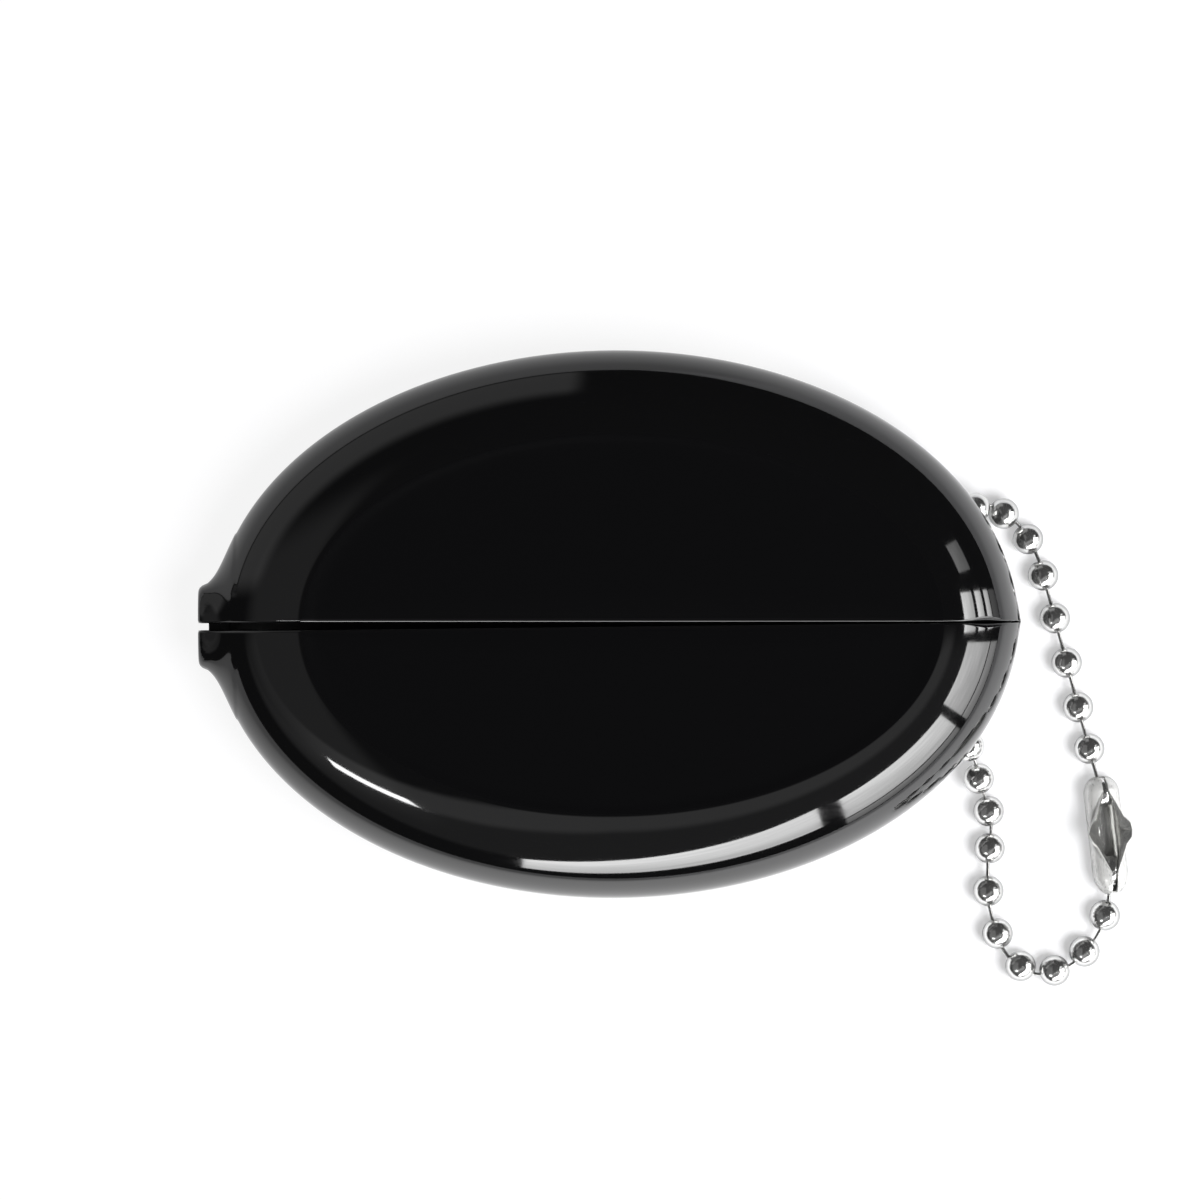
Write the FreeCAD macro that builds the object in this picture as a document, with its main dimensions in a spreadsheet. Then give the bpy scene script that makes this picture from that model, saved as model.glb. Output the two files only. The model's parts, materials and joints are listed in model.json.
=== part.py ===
import FreeCAD, Part
import math
import os

import Sketcher
from FreeCAD import Placement, Rotation, Vector

# Squeeze coin purse: an oval pouch of soft vinyl, slit along its front, with a ball chain through two
# slots at one end. The pouch lies on its back, as photographed. The origin is in the middle of the back,
# X runs along the slit towards the chain and Z points up through the slit. Lengths are in millimetres.

SIZES = (
    # The pouch's oval, its wall and the rounded shoulder between rim and flat panel
    ("pouch_length", 78.3),
    ("pouch_width", 53.4),
    ("pouch_thickness", 14.6),
    ("wall", 1.5),
    ("shoulder_width", 8.6),
    ("shoulder_angle", 77),
    ("end_shoulder_share", 1.06),
    # The flat-cut nub at the slit's end, from its face back to where it meets the pouch
    ("nub_length", 1.4),
    ("nub_width", 7.5),
    ("nub_height", 5.2),
    ("nub_flare", 4.0),
    ("nub_root_width", 18.2),
    ("nub_root_height", 8.8),
    ("nub_round", 0.5),
    # The slit, wider at the nub than at the chain, and the notch right through the nub
    ("slit_nub_width", 0.75),
    ("slit_chain_width", 0.3),
    ("notch_depth", 1.0),
    # The strip of the back between the two lines along which the pouch bends open
    ("spine_width", 22),
    ("flex_gap", 0.1),
    # The two slots for the chain, each clear of the flex plane below it, and the chain in them
    ("slot_margin", 0.95),
    ("slot_level", 4.7),
    ("slot_straight", 2.6),
    ("slot_play", 1.1),
    ("slot_depth", 12),
    ("chain_drift", 0.5),
    ("chain_seat", 0.3),
    # The ball chain: hollow beads, and dumbbell pins with a head inside each bead
    ("bead_diameter", 3.0),
    ("bead_wall", 0.2),
    ("bead_hole", 0.58),
    ("bead_gap", 1.5),
    ("pin_diameter", 0.36),
    ("pin_head", 0.66),
    ("pin_seat", 0.525),
    # The coupling: a folded sheath over both end beads with a flared mouth between them
    ("coupling_span", 7.64),
    ("coupling_wall", 0.2),
    ("coupling_play", 0.06),
    ("coupling_eye", 1.3),
    ("coupling_throat", 0.5),
    ("coupling_mouth", 2.84),
    ("coupling_mouth_length", 8.6),
    ("coupling_roll", -14),
    ("wing_length", 6.4),
    ("wing_tip", 3.2),
    ("wing_height", 0.6),
    ("wing_angle", 26),
    ("wing_lean", 42),
    ("tab_length", 2.7),
    ("tab_tip", 0.9),
    ("tab_height", 0.45),
    # How far every cutting tool reaches past what it cuts
    ("overrun", 2.0),
)

# Levels of the pouch's ovals, from the back panel's edge through the rim to the front panel's edge
LEVEL_SHARES = (-1, -0.75, -0.5, -0.25, 0, 0.25, 0.5, 0.75, 1)
# Steps of the nub's flare, from its face to its root, and how the flare quickens along them
FLARE_SHARES = (0, 0.25, 0.5, 0.75, 1)
FLARE_POWER = 1.6

# The chain beside the pouch, bead by bead from the upper slot to the coupling and from the coupling to
# the lower slot: heading in degrees, then the gap to the next bead as a share of a taut gap
SIDE_RUN_SHARES = (
    (-11, -0.07), (-46, 0.31), (-68, 0.56), (-75, 0.89), (-75.5, 1.0), (-76, 1.0), (-75.5, 0.8), (-75, 1.0),
)
COUPLING_HEADING = -84
FAR_RUN_SHARES = (
    (-97, 0.94), (-120, 0.71), (-148, 0.31), (-188, 0.24), (-235, 0.6), (-258, 0.85), (-272, 0.79),
    (-269, 0.43), (-253, 0.24), (-253, 0.22),
)
# Heights above the table, in bead radii, of the two beads nearest each slot, from the slot outwards
UPPER_RISE_SHARES = (2.6, 1.5)
LOWER_RISE_SHARES = (2.45, 1.55)
# The hidden run inside the pouch, from the upper slot to the lower one: the place along the line between
# the slots, how far the run bows inwards there and, in bead radii, how high it lies above the wall
INNER_RUN_SHARES = (
    (0.107, 0.51, 2.5), (0.248, 0.87, 2.0), (0.415, 1.0, 1.55), (0.585, 1.0, 1.55), (0.75, 0.8, 1.9),
    (0.885, 0.42, 2.35),
)
# The whole bow in bead radii, beyond the wall
INNER_BOW_SHARE = 3.0
# Rounds in which the beads turn to lie evenly between their pins, and how far they turn each time
SETTLING_ROUNDS = 40
SETTLING_SHARE = 0.2

X_AXIS = Vector(1, 0, 0)
Y_AXIS = Vector(0, 1, 0)
Z_AXIS = Vector(0, 0, 1)
# Turns a shape drawn in X and Y so that its X runs along Y, its Y up and its Z along X
STAND_ACROSS = Rotation(Vector(1, 1, 1), 120)
# Turns a shape drawn along Y so that it runs along X
LAY_ALONG = Rotation(Z_AXIS, -90)

doc = FreeCAD.newDocument("coin_purse")
sheet = doc.addObject("Spreadsheet::Sheet", "Sizes")
for row, (alias, amount) in enumerate(SIZES, start=1):
    sheet.set(f"A{row}", alias)
    sheet.set(f"B{row}", str(amount))
    sheet.setAlias(f"B{row}", alias)
doc.recompute()


def size(formula):
    """The value of a formula of the sheet's sizes."""
    return sheet.evalExpression(formula)


def shape(kind, name, placement=None, **formulas):
    """A primitive whose properties follow formulas of the sheet's sizes."""
    made = doc.addObject(kind, name)
    for property_name, formula in formulas.items():
        made.setExpression(property_name, formula)
    if placement:
        made.Placement = placement
    return made


def join(name, pieces):
    """Several shapes fused into one."""
    made = doc.addObject("Part::MultiFuse", name)
    made.Shapes = pieces
    return made


def cut(name, base, tool):
    """A shape with a tool's shape taken out of it."""
    made = doc.addObject("Part::Cut", name)
    made.Base = base
    made.Tool = tool
    return made


def common(name, base, tool):
    """What two shapes share."""
    made = doc.addObject("Part::Common", name)
    made.Base = base
    made.Tool = tool
    return made


def loft(name, sections):
    """A solid through a row of closed outlines."""
    made = doc.addObject("Part::Loft", name)
    made.Sections = sections
    made.Solid = True
    return made


def oval_loft(name, skin):
    """The pouch's cushion form, drawn in by skin all round: ovals from the back panel to the front panel."""
    whole = "Sizes.shoulder_angle"
    half = "Sizes.pouch_thickness / 2"
    ovals = []
    for number, share in enumerate(LEVEL_SHARES, start=1):
        turn = f"({share}) * {whole}"
        inset = f"Sizes.shoulder_width * (1 - cos({turn})) / (1 - cos({whole}))"
        oval = shape(
            "Part::Ellipse", f"{name}_{number}",
            MajorRadius=f"Sizes.pouch_length / 2 - {skin} - Sizes.end_shoulder_share * {inset}",
            MinorRadius=f"Sizes.pouch_width / 2 - {skin} - {inset}",
        )
        rise = f"sin({turn}) / sin({whole})"
        oval.setExpression("Placement.Base.z", f"{half} + ({half} - {skin}) * {rise}")
        ovals.append(oval)
    return loft(name, ovals)


def nub_loft():
    """The nub: ovals across X from its flat-cut face, flaring into the pouch's end."""
    ovals = []
    for number, share in enumerate(FLARE_SHARES, start=1):
        spread = share ** FLARE_POWER
        oval = shape(
            "Part::Ellipse", f"nub_{number}", Placement(Vector(0, 0, 0), STAND_ACROSS),
            MajorRadius=f"(Sizes.nub_width + (Sizes.nub_root_width - Sizes.nub_width) * {spread}) / 2",
            MinorRadius=f"(Sizes.nub_height + (Sizes.nub_root_height - Sizes.nub_height) * {spread}) / 2",
        )
        oval.setExpression(
            "Placement.Base.x", f"Sizes.nub_flare * {share} - Sizes.pouch_length / 2 - Sizes.nub_length")
        oval.setExpression("Placement.Base.z", "Sizes.pouch_thickness / 2")
        ovals.append(oval)
    flared = loft("nub_flared", ovals)
    doc.recompute()
    face_edges = [
        number for number, edge in enumerate(flared.Shape.Edges, start=1)
        if edge.BoundBox.XMax < flared.Shape.BoundBox.XMin + size("Sizes.nub_round")
    ]
    rounded = doc.addObject("Part::Fillet", "nub")
    rounded.Base = flared
    rounded.Edges = [(number, size("Sizes.nub_round"), size("Sizes.nub_round")) for number in face_edges]
    return rounded


def spine_wedge(name, gap):
    """The prism under the two slanted planes that run from the flex lines up to the slit's foot."""
    reach = "(Sizes.pouch_length / 2 + Sizes.nub_length + Sizes.overrun)"
    height = "Sizes.pouch_thickness / 2"
    slope = f"Sizes.spine_width / 2 / ({height})"
    foot = f"(Sizes.spine_width / 2 + {gap} + Sizes.overrun * {slope})"
    return shape(
        "Part::Wedge", name, Placement(Vector(0, 0, 0), STAND_ACROSS),
        Xmin=f"-{foot}", Xmax=foot, X2min="0", X2max="0",
        Ymin="-Sizes.overrun", Ymax=f"{height} + {gap} / ({slope})",
        Zmin=f"-{reach}", Zmax=reach, Z2min=f"-{reach}", Z2max=reach,
    )


def slot_across():
    """How far a slot's middle lies from the long axis: its edge keeps a margin to the flex plane."""
    half_spine = size("Sizes.spine_width / 2")
    rise = size("Sizes.pouch_thickness / 2")
    slant = math.hypot(half_spine, rise)
    bore = size("Sizes.bead_diameter / 2 + Sizes.slot_play")
    reach = bore + size("Sizes.slot_straight / 2") * rise / slant
    above_plane = size("Sizes.slot_level") * half_spine / slant
    return half_spine + (reach + size("Sizes.slot_margin") - above_plane) * slant / rise


def rim_place(across):
    """The point of the pouch's outline at a distance across from its long axis, and its outward direction."""
    half_length = size("Sizes.pouch_length / 2")
    half_width = size("Sizes.pouch_width / 2")
    along = half_length * math.sqrt(1 - (across / half_width) ** 2)
    outward = Vector(along / half_length ** 2, across / half_width ** 2, 0)
    return Vector(along, across, 0), outward.normalize()


def slot_tool(name, side):
    """A round-ended slot through the wall of one half, square to the outline there."""
    place, outward = rim_place(side * slot_across())
    bore = "(Sizes.bead_diameter / 2 + Sizes.slot_play)"
    straight = shape(
        "Part::Box", f"{name}_straight",
        Length="Sizes.slot_depth", Width="Sizes.slot_straight", Height=f"2 * {bore}",
    )
    straight.setExpression("Placement.Base.x", "-Sizes.slot_depth / 2")
    straight.setExpression("Placement.Base.y", "-Sizes.slot_straight / 2")
    straight.setExpression("Placement.Base.z", f"-{bore}")
    ends = []
    for end in (-1, 1):
        lying = Placement(Vector(0, 0, 0), Rotation(Y_AXIS, 90))
        rounded = shape("Part::Cylinder", f"{name}_end", lying, Radius=bore, Height="Sizes.slot_depth")
        rounded.setExpression("Placement.Base.x", "-Sizes.slot_depth / 2")
        rounded.setExpression("Placement.Base.y", f"{end} * Sizes.slot_straight / 2")
        ends.append(rounded)
    tool = join(name, [straight] + ends)
    level = Vector(0, 0, size("Sizes.slot_level"))
    tool.Placement = Placement(place + level, Rotation(X_AXIS, outward))
    return tool


def make_pouch():
    """The moulding in three pieces: the spine of its back and the two halves that bend away from it."""
    outside = join("pouch_outside", [oval_loft("pouch_body", "0"), nub_loft()])
    shell = cut("pouch_shell", outside, oval_loft("pouch_inside", "Sizes.wall"))

    reach = "(Sizes.pouch_length / 2 + Sizes.nub_length + Sizes.overrun)"
    top = "(Sizes.pouch_thickness + Sizes.overrun)"
    tall = f"{top} + Sizes.overrun"
    slit_foot = "Sizes.pouch_thickness / 4"
    slit = shape(
        "Part::Wedge", "slit", Placement(Vector(0, 0, 0), LAY_ALONG),
        Xmin="-Sizes.slit_nub_width / 2", Xmax="Sizes.slit_nub_width / 2",
        X2min="-Sizes.slit_chain_width / 2", X2max="Sizes.slit_chain_width / 2",
        Ymin=f"-{reach}", Ymax=reach,
        Zmin=slit_foot, Zmax=top, Z2min=slit_foot, Z2max=top,
    )
    notch = shape(
        "Part::Box", "notch",
        Length="Sizes.notch_depth + Sizes.overrun", Width="Sizes.slit_nub_width", Height=tall,
    )
    notch.setExpression("Placement.Base.x", f"-{reach}")
    notch.setExpression("Placement.Base.y", "-Sizes.slit_nub_width / 2")
    notch.setExpression("Placement.Base.z", "-Sizes.overrun")

    spine = cut("back_spine", common("spine_strip", shell, spine_wedge("spine_wedge", "0")), notch)
    halves = []
    for label, side in (("upper_half", 1), ("lower_half", -1)):
        beside = shape(
            "Part::Box", f"{label}_side", Length=f"2 * {reach}", Width="Sizes.pouch_width", Height=tall)
        beside.setExpression("Placement.Base.x", f"-{reach}")
        beside.setExpression("Placement.Base.y", f"Sizes.pouch_width * {(side - 1) / 2}")
        beside.setExpression("Placement.Base.z", "-Sizes.overrun")
        below = spine_wedge(f"{label}_wedge", "Sizes.flex_gap")
        tools = join(f"{label}_tools", [below, slit, notch, slot_tool(f"{label}_slot", side)])
        halves.append(common(label, shell, cut(f"{label}_space", beside, tools)))
    return [spine] + halves


def traverse(start, steps):
    """Places of beads in plan, each at a heading and a share of the taut gap from the one before."""
    places = [start]
    for heading, gap_share in steps:
        step = size("Sizes.bead_diameter") + gap_share * size("Sizes.bead_gap")
        turn = math.radians(heading)
        places.append(places[-1] + Vector(math.cos(turn), math.sin(turn), 0) * step)
    return places


def slot_seats():
    """Where the chain's bead lies in the upper and in the lower slot, in plan."""
    seats = []
    for side in (1, -1):
        place = rim_place(side * slot_across() - size("Sizes.chain_drift"))[0]
        seats.append(place - X_AXIS * size("Sizes.chain_seat"))
    return seats


def chain_route():
    """Centres of all beads, from the one in the coupling's upper end round to the one in its lower end."""
    bead_radius = size("Sizes.bead_diameter / 2")
    upper_seat, lower_seat = slot_seats()

    side_run = traverse(upper_seat, SIDE_RUN_SHARES)
    turn = math.radians(COUPLING_HEADING)
    coupling_end = side_run[-1] + Vector(math.cos(turn), math.sin(turn), 0) * size("Sizes.coupling_span")
    far_run = traverse(coupling_end, FAR_RUN_SHARES)
    outer = side_run + far_run
    # What the loop misses the lower slot by is spread over its links, and the coupling keeps its span
    miss = lower_seat - outer[-1]
    side_links = range(len(side_run))
    far_links = range(len(side_run) - 1, len(outer) - 1)
    passed = [*side_links, *far_links]
    outer = [place + miss * (links / passed[-1]) for links, place in zip(passed, outer)]

    heights = [bead_radius] * len(outer)
    for number, share in enumerate(UPPER_RISE_SHARES):
        heights[number] = bead_radius * share
    for number, share in enumerate(LOWER_RISE_SHARES):
        heights[-1 - number] = bead_radius * share
    for number in (len(side_run) - 1, len(side_run)):
        heights[number] = size("Sizes.bead_diameter / 2 + Sizes.coupling_play + Sizes.coupling_wall")
    outer = [place + Z_AXIS * height for place, height in zip(outer, heights)]

    inner = []
    bow = size("Sizes.wall") + INNER_BOW_SHARE * bead_radius
    for place_share, bow_share, rise_share in INNER_RUN_SHARES:
        straight = upper_seat + (lower_seat - upper_seat) * place_share
        height = size("Sizes.wall") + rise_share * bead_radius
        inner.append(straight - X_AXIS * bow * bow_share + Z_AXIS * height)

    to_coupling = outer[:len(side_run)]
    from_coupling = outer[len(side_run):]
    return to_coupling[::-1] + inner + from_coupling[::-1]


def pin_ends(centres, axes):
    """The middles of the two holes that each pin passes through."""
    wall_middle = size("Sizes.bead_diameter / 2 - Sizes.bead_wall / 2")
    leaving = [centre + axis * wall_middle for centre, axis in zip(centres, axes)]
    entering = [centre - axis * wall_middle for centre, axis in zip(centres, axes)]
    return list(zip(leaving[:-1], entering[1:]))


def bead_axes(centres):
    """The line through each bead's two holes: every bead turns until it lies evenly between its pins."""
    runs = [(ahead - behind).normalize() for behind, ahead in zip(centres[:-1], centres[1:])]
    axes = [(before + after).normalize() for before, after in zip(runs[:1] + runs, runs + runs[-1:])]
    for _ in range(SETTLING_ROUNDS):
        runs = [(end - start).normalize() for start, end in pin_ends(centres, axes)]
        middles = [(before + after).normalize() for before, after in zip(runs[:1] + runs, runs + runs[-1:])]
        axes = [(axis + (middle - axis) * SETTLING_SHARE).normalize() for axis, middle in zip(axes, middles)]
    return axes


def attached_sketch(body, name):
    """A sketch on a body's own XY plane."""
    sketch = body.newObject("Sketcher::SketchObject", name)
    for feature in body.Origin.OriginFeatures:
        if feature.Role == "XY_Plane":
            sketch.AttachmentSupport = [(feature, "")]
    sketch.MapMode = "FlatFace"
    return sketch


def tie(sketch, kind, *places, formula):
    """A dimension of a sketch that follows a formula."""
    number = sketch.addConstraint(Sketcher.Constraint(kind, *places, size(formula)))
    sketch.setExpression(f"Constraints[{number}]", formula)


def revolve(body, sketch):
    """The sketch turned once about its own horizontal axis."""
    turned = body.newObject("PartDesign::Revolution", f"{body.Label}_turned")
    turned.Profile = (sketch, [""])
    turned.ReferenceAxis = (sketch, ["H_Axis"])
    turned.Angle = 360


def half_ring(radius, low):
    """An arc about the origin, over the axis from one side to the other, down to a height over the axis."""
    start = math.asin(low / radius)
    return Part.ArcOfCircle(Part.Circle(Vector(0, 0, 0), Z_AXIS, radius), start, math.pi - start)


def make_bead(label, centre, axis):
    """A hollow ball with a hole at each end of its axis."""
    body = doc.addObject("PartDesign::Body", label)
    sketch = attached_sketch(body, f"{label}_profile")
    radius = size("Sizes.bead_diameter / 2")
    hole = size("Sizes.bead_hole / 2")
    outside = half_ring(radius, hole)
    inside = half_ring(radius - size("Sizes.bead_wall"), hole)
    left = Part.LineSegment(outside.EndPoint, inside.EndPoint)
    right = Part.LineSegment(inside.StartPoint, outside.StartPoint)
    sketch.addGeometry([outside, left, inside, right], False)
    sketch.addConstraint([
        Sketcher.Constraint("Coincident", 0, 2, 1, 1),
        Sketcher.Constraint("Coincident", 1, 2, 2, 2),
        Sketcher.Constraint("Coincident", 2, 1, 3, 1),
        Sketcher.Constraint("Coincident", 3, 2, 0, 1),
        Sketcher.Constraint("Coincident", 0, 3, -1, 1),
        Sketcher.Constraint("Coincident", 2, 3, -1, 1),
        Sketcher.Constraint("Horizontal", 1),
        Sketcher.Constraint("Horizontal", 3),
    ])
    tie(sketch, "Radius", 0, formula="Sizes.bead_diameter / 2")
    tie(sketch, "Radius", 2, formula="Sizes.bead_diameter / 2 - Sizes.bead_wall")
    tie(sketch, "DistanceY", -1, 1, 1, 1, formula="Sizes.bead_hole / 2")
    tie(sketch, "DistanceY", -1, 1, 3, 1, formula="Sizes.bead_hole / 2")
    revolve(body, sketch)
    body.Placement = Placement(centre, Rotation(X_AXIS, axis))
    return body


def make_pin(label, start, end):
    """A rod with a round head at each end, centred between two beads' holes."""
    body = doc.addObject("PartDesign::Body", label)
    sketch = attached_sketch(body, f"{label}_profile")
    half = "Sizes.bead_gap / 2 + Sizes.bead_wall / 2 + Sizes.pin_seat"
    head = size("Sizes.pin_head / 2")
    rod = size("Sizes.pin_diameter / 2")
    right_centre = X_AXIS * size(half)
    left_centre = X_AXIS * -size(half)
    neck = math.asin(rod / head)
    right_head = Part.ArcOfCircle(Part.Circle(right_centre, Z_AXIS, head), 0, math.pi - neck)
    left_head = Part.ArcOfCircle(Part.Circle(left_centre, Z_AXIS, head), neck, math.pi)
    shank = Part.LineSegment(right_head.EndPoint, left_head.StartPoint)
    core = Part.LineSegment(left_head.EndPoint, right_head.StartPoint)
    sketch.addGeometry([right_head, shank, left_head, core], False)
    sketch.addConstraint([
        Sketcher.Constraint("Coincident", 0, 2, 1, 1),
        Sketcher.Constraint("Coincident", 1, 2, 2, 1),
        Sketcher.Constraint("Coincident", 2, 2, 3, 1),
        Sketcher.Constraint("Coincident", 3, 2, 0, 1),
        Sketcher.Constraint("PointOnObject", 0, 3, -1),
        Sketcher.Constraint("PointOnObject", 2, 3, -1),
        Sketcher.Constraint("PointOnObject", 3, 1, -1),
        Sketcher.Constraint("PointOnObject", 3, 2, -1),
        Sketcher.Constraint("Horizontal", 1),
    ])
    tie(sketch, "DistanceX", -1, 1, 0, 3, formula=half)
    tie(sketch, "DistanceX", 2, 3, -1, 1, formula=half)
    tie(sketch, "Radius", 0, formula="Sizes.pin_head / 2")
    tie(sketch, "Radius", 2, formula="Sizes.pin_head / 2")
    tie(sketch, "DistanceY", -1, 1, 1, 1, formula="Sizes.pin_diameter / 2")
    revolve(body, sketch)
    body.Placement = Placement((start + end) / 2, Rotation(X_AXIS, end - start))
    return body


def capsule(name, radius):
    """A rod with ball ends about the coupling's two bead places."""
    rod = shape(
        "Part::Cylinder", f"{name}_rod", Placement(Vector(0, 0, 0), Rotation(Y_AXIS, 90)),
        Radius=radius, Height="Sizes.coupling_span",
    )
    rod.setExpression("Placement.Base.x", "-Sizes.coupling_span / 2")
    balls = []
    for end in (-1, 1):
        ball = shape("Part::Sphere", f"{name}_ball", Radius=radius)
        ball.setExpression("Placement.Base.x", f"{end} * Sizes.coupling_span / 2")
        balls.append(ball)
    return join(name, [rod] + balls)


def make_coupling(upper_bead, lower_bead):
    """The sheath over both end beads: slit along its top, widest in the middle, with a wing on each side."""
    inner = "(Sizes.bead_diameter / 2 + Sizes.coupling_play)"
    outer = f"({inner} + Sizes.coupling_wall)"
    reach = f"(Sizes.coupling_span / 2 + {outer} + Sizes.overrun)"
    top = f"({outer} + Sizes.overrun)"
    sheath = cut("coupling_sheath", capsule("coupling_outside", outer), capsule("coupling_inside", inner))

    throat = shape(
        "Part::Box", "coupling_throat", Length=f"2 * {reach}", Width="Sizes.coupling_throat", Height=top)
    throat.setExpression("Placement.Base.x", f"-{reach}")
    throat.setExpression("Placement.Base.y", "-Sizes.coupling_throat / 2")
    eyes = shape(
        "Part::Cylinder", "coupling_eyes", Placement(Vector(0, 0, 0), Rotation(Y_AXIS, 90)),
        Radius="Sizes.coupling_eye / 2", Height=f"2 * {reach}",
    )
    eyes.setExpression("Placement.Base.x", f"-{reach}")
    mouth = []
    wings = []
    for side in (-1, 1):
        mouth.append(shape(
            "Part::Wedge", "coupling_mouth_half", Placement(Vector(0, 0, 0), Rotation(Z_AXIS, side * 90)),
            Xmin="-Sizes.coupling_mouth / 2", Xmax="Sizes.coupling_mouth / 2",
            X2min="-Sizes.coupling_throat / 2", X2max="Sizes.coupling_throat / 2",
            Ymin="0", Ymax="Sizes.coupling_mouth_length / 2",
            Zmin="0", Zmax=top, Z2min="0", Z2max=top,
        ))
        # Each wing stands on the middle of the sheath's wall and leans out, with a tab on its edge
        seat = f"({inner} + Sizes.coupling_wall / 2)"
        leaning = Rotation(X_AXIS, 90 - side * size("Sizes.wing_lean"))
        for flap, foot in (("wing", "0"), ("tab", "Sizes.wing_height")):
            wing = shape(
                "Part::Wedge", f"coupling_{flap}", Placement(Vector(0, 0, 0), leaning),
                Xmin=f"-Sizes.{flap}_length / 2", Xmax=f"Sizes.{flap}_length / 2",
                X2min=f"-Sizes.{flap}_tip / 2", X2max=f"Sizes.{flap}_tip / 2",
                Ymin=foot, Ymax=f"{foot} + Sizes.{flap}_height",
                Zmin="-Sizes.coupling_wall / 2", Zmax="Sizes.coupling_wall / 2",
                Z2min="-Sizes.coupling_wall / 2", Z2max="Sizes.coupling_wall / 2",
            )
            wing.setExpression("Placement.Base.y", f"{side} * {seat} * cos(Sizes.wing_angle)")
            wing.setExpression("Placement.Base.z", f"{seat} * sin(Sizes.wing_angle)")
            wings.append(wing)
    opened = cut("coupling_opened", sheath, join("coupling_opening", [throat, eyes] + mouth))
    coupling = join("coupling", [opened] + wings)
    along = Rotation(X_AXIS, lower_bead - upper_bead)
    rolled = along.multiply(Rotation(X_AXIS, size("Sizes.coupling_roll")))
    coupling.Placement = Placement((upper_bead + lower_bead) / 2, rolled)
    return coupling


centres = chain_route()
axes = bead_axes(centres)

pieces = make_pouch()
for number, (centre, axis) in enumerate(zip(centres, axes), start=1):
    pieces.append(make_bead(f"bead_{number:02d}", centre, axis))
for number, (start, end) in enumerate(pin_ends(centres, axes), start=1):
    pieces.append(make_pin(f"pin_{number:02d}", start, end))
pieces.append(make_coupling(centres[0], centres[-1]))
doc.recompute()

for item in doc.Objects:
    if "Invalid" in item.State or "Error" in item.State:
        raise RuntimeError(f"{item.Label} failed: {item.State}")
for piece in pieces:
    if piece.Shape.isNull() or not piece.Shape.isValid() or len(piece.Shape.Solids) != 1:
        raise RuntimeError(f"{piece.Label} is not one valid solid")

os.makedirs("parts", exist_ok=True)
for piece in pieces:
    piece.Shape.exportStep(f"parts/{piece.Label}.step")
    print(f"{piece.Label}: {piece.Shape.Volume:.3f} mm3")
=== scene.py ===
import json
import math

import bmesh
import bpy
import numpy as np
from mathutils import Matrix, Vector


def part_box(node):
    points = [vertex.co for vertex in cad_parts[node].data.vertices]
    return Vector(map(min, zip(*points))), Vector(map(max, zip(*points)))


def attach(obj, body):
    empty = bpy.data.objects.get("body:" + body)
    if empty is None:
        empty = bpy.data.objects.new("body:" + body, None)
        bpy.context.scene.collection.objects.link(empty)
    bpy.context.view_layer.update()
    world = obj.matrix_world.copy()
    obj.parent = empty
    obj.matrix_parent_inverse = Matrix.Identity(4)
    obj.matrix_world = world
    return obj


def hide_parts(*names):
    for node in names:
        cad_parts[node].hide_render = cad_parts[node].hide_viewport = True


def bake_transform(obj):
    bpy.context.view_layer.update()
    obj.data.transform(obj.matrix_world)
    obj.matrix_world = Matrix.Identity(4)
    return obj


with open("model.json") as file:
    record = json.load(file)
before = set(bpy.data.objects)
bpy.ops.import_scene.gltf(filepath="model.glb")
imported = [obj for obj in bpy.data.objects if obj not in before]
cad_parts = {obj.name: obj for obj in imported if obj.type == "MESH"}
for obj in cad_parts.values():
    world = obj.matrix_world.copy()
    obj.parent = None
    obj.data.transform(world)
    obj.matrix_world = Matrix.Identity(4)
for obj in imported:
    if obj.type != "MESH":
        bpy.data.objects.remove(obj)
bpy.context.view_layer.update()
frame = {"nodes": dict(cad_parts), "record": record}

# The pouch: one moulding of soft black vinyl, an oval cushion that is hollow and slit along its front.
# Each half of it bends away from the back as the ends are squeezed. The halves meet along the back, and
# the chain's two slots are punched through the wall at one end.
MM = 0.001
WALL = 1.5
SHOULDER_WIDTH = 8.2
SHOULDER_DEGREES = 77
SHOULDER_ANGLE = math.radians(SHOULDER_DEGREES)
CHAIN_SHOULDER_SHARE = 0.89
NUB_SHOULDER_SHARE = 1.06
NUB_FLARE = 4.0
NUB_FACE_HALF = (3.75, 2.6)
NUB_ROOT_HALF = (9.1, 4.4)
NUB_FLARE_POWER = 1.6
NUB_FILLET = 0.8
NUB_ROUND = 0.75
NUB_HALVINGS = 30
NOTCH_DEPTH = 1.0
# The lips draw the chain end out to a slight point
CHAIN_POINT = 0.45
CHAIN_POINT_WIDTH = 3.0
SLIT_HALF_AT_NUB = 0.34
SLIT_HALF_AT_CHAIN = 0.05
LIP_RADIUS = 0.3
LIP_RADIUS_AT_CHAIN = 0.16
LIP_PINCH = 0.36
# How far round the shoulder, in degrees from the rim, the slit is open, its lip is full and the pinch begins
SLIT_OPEN_AT = 12
LIP_FULL_AT = 25
PINCH_START = 28
PINCH_SPAN = 40
SEAM_STRIP = 0.05
SLOT_ACROSS = 11.638
SLOT_LEVEL = 4.7
SLOT_HALF_STRAIGHT = 1.3
SLOT_RADIUS = 2.6
SLOT_STEPS = 12
# Inner levels follow the outer ones up to this share of the height, so that the slots' walls run straight
SAME_LEVEL_SHARE = 0.72
LIP_ARC_STEPS = 4
PANEL_SHARES = (0, 0.01, 0.02, 0.03, 0.04, 0.055, 0.08, 0.12, 0.2, 0.35, 0.6, 0.85, 1)
PANEL_SINK = 0.11
PANEL_SINK_WIDTH = 1.0
# The pouch's two finishes, by material index
POLISHED, SATIN = 0, 1
MERGE_DISTANCE = 0.001 * MM
SHARP_ANGLE = math.radians(50)

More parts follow.
